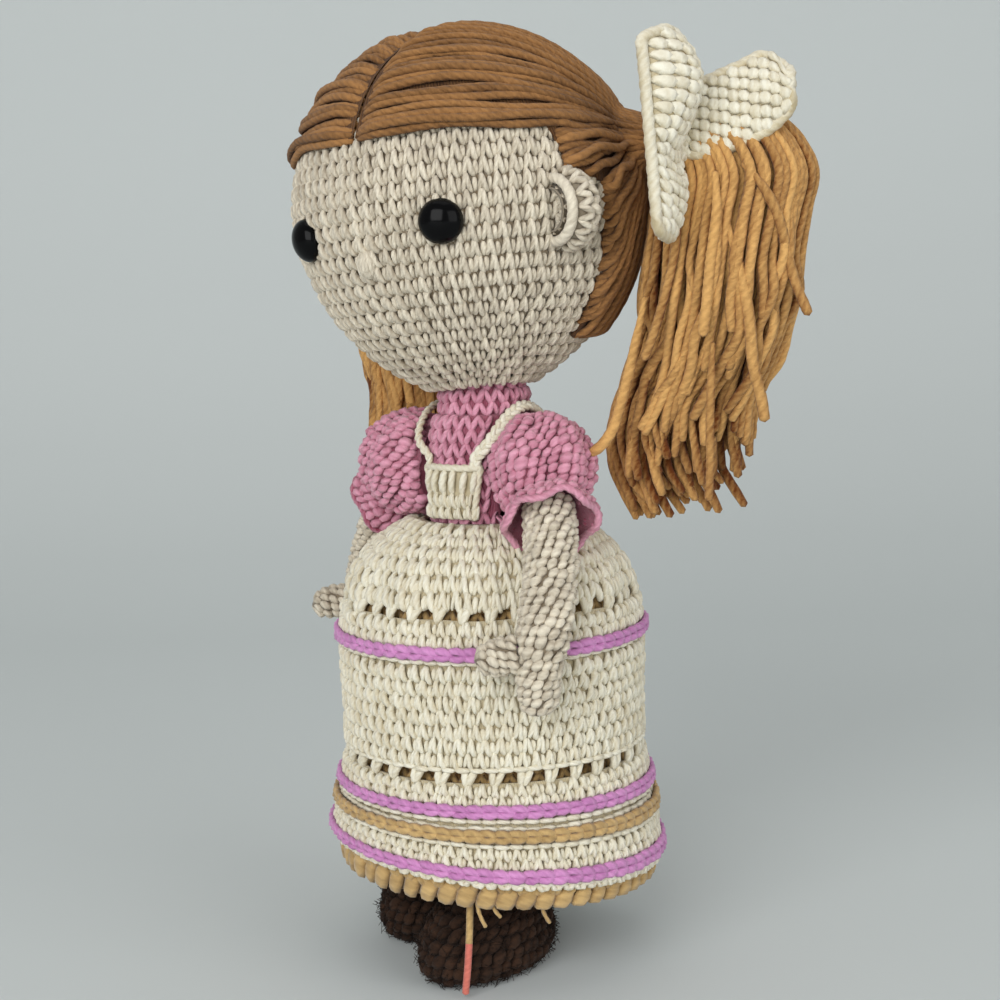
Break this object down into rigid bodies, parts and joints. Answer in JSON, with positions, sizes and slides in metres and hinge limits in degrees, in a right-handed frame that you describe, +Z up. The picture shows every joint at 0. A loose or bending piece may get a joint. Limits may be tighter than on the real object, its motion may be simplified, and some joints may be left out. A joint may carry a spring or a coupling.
{
  "type": "crocheted amigurumi doll",
  "caption": "Crocheted girl doll with bunched yarn hair, bows, a puff-sleeved dress under a pinafore, and shoes; head, arms, legs and bunches of hair move.",
  "frame": {"origin": "on the floor, under the middle of the doll's box, its free yarn end left out", "axes": "+Z up, the doll faces -Y, its left side is +X"},
  "size_m": [0.2104, 0.121, 0.3111],
  "materials": {
    "beige": "cotton yarn, single crochet",
    "honey": "plied wool-blend yarn",
    "cream": "cotton yarn, crochet",
    "pink": "cotton yarn, crochet",
    "orchid": "cotton yarn, surface chain",
    "tan": "cotton yarn, crochet",
    "brown": "soft chenille-like yarn, crochet",
    "coral": "yarn end",
    "wadding": "polyester filling",
    "black": "polished black",
    "nylon": "moulded nylon"
  },
  "bodies": {
    "torso": {"body_skin": "pink", "body_wadding": "wadding", "skirt": "cream", "lining": "tan", "middle_band": "orchid", "upper_band": "orchid", "tan_band": "tan", "lower_band": "orchid", "bib": "cream", "left_strap": "cream", "right_strap": "cream", "long_tail": "coral"},
    "neck_ball": {"neck": "pink"},
    "head": {"head_skin": "beige", "head_wadding": "wadding", "nose": "beige", "left_eye": "black", "right_eye": "black", "left_eye_washer": "nylon", "right_eye_washer": "nylon", "left_ear": "beige", "right_ear": "beige", "left_hair": "honey", "right_hair": "honey"},
    "left_bunch": {"left_pigtail": "honey", "left_hair_tie": "honey", "left_bow_knot": "cream", "left_bow_front": "cream", "left_bow_rear": "cream"},
    "left_puff": {"left_sleeve": "pink"},
    "left_hand": {"left_arm": "beige", "left_thumb": "beige", "left_cuff": "pink"},
    "left_foot": {"left_leg": "beige", "left_shoe": "brown"},
    "right_bunch": {"right_pigtail": "honey", "right_hair_tie": "honey", "right_bow_knot": "cream", "right_bow_front": "cream", "right_bow_rear": "cream"},
    "right_puff": {"right_sleeve": "pink"},
    "right_hand": {"right_arm": "beige", "right_thumb": "beige", "right_cuff": "pink"},
    "right_foot": {"right_leg": "beige", "right_shoe": "brown"}
  },
  "joints": [
    {"name": "neck_turn", "type": "hinge", "parent": "torso", "child": "neck_ball", "pos_m": [0.00126, -0.00324, 0.187], "axis": [0, 0, 1], "range_deg": [-16, 16]},
    {"name": "head_nod", "type": "hinge", "parent": "neck_ball", "child": "head", "pos_m": [0.00126, -0.00324, 0.187], "axis": [1, 0, 0], "range_deg": [-15, 15]},
    {"name": "left_bunch_swing", "type": "hinge", "parent": "head", "child": "left_bunch", "pos_m": [0.05662, 0.01792, 0.27039], "axis": [0.9429, 0.3256, 0.0709], "range_deg": [-40, 60]},
    {"name": "right_bunch_swing", "type": "hinge", "parent": "head", "child": "right_bunch", "pos_m": [-0.06518, 0.02005, 0.26123], "axis": [0.931, -0.3584, 0.07], "range_deg": [-40, 60]},
    {"name": "left_arm_swing", "type": "hinge", "parent": "torso", "child": "left_puff", "pos_m": [0.02726, -0.00924, 0.167], "axis": [-1, 0, 0], "range_deg": [0, 60]},
    {"name": "right_arm_swing", "type": "hinge", "parent": "torso", "child": "right_puff", "pos_m": [-0.02474, -0.00924, 0.167], "axis": [-1, 0, 0], "range_deg": [0, 60]},
    {"name": "left_arm_lift", "type": "hinge", "parent": "left_puff", "child": "left_hand", "pos_m": [0.02726, -0.00924, 0.167], "axis": [-0.8, -0.6, 0], "range_deg": [0, 50]},
    {"name": "right_arm_lift", "type": "hinge", "parent": "right_puff", "child": "right_hand", "pos_m": [-0.02474, -0.00924, 0.167], "axis": [-0.8, 0.6, 0], "range_deg": [0, 50]},
    {"name": "left_hip", "type": "hinge", "parent": "torso", "child": "left_foot", "pos_m": [0.01426, -0.00324, 0.104], "axis": [-1, 0, 0], "range_deg": [-20, 2]},
    {"name": "right_hip", "type": "hinge", "parent": "torso", "child": "right_foot", "pos_m": [-0.01175, -0.00324, 0.104], "axis": [-1, 0, 0], "range_deg": [-5, 15]}
  ]
}
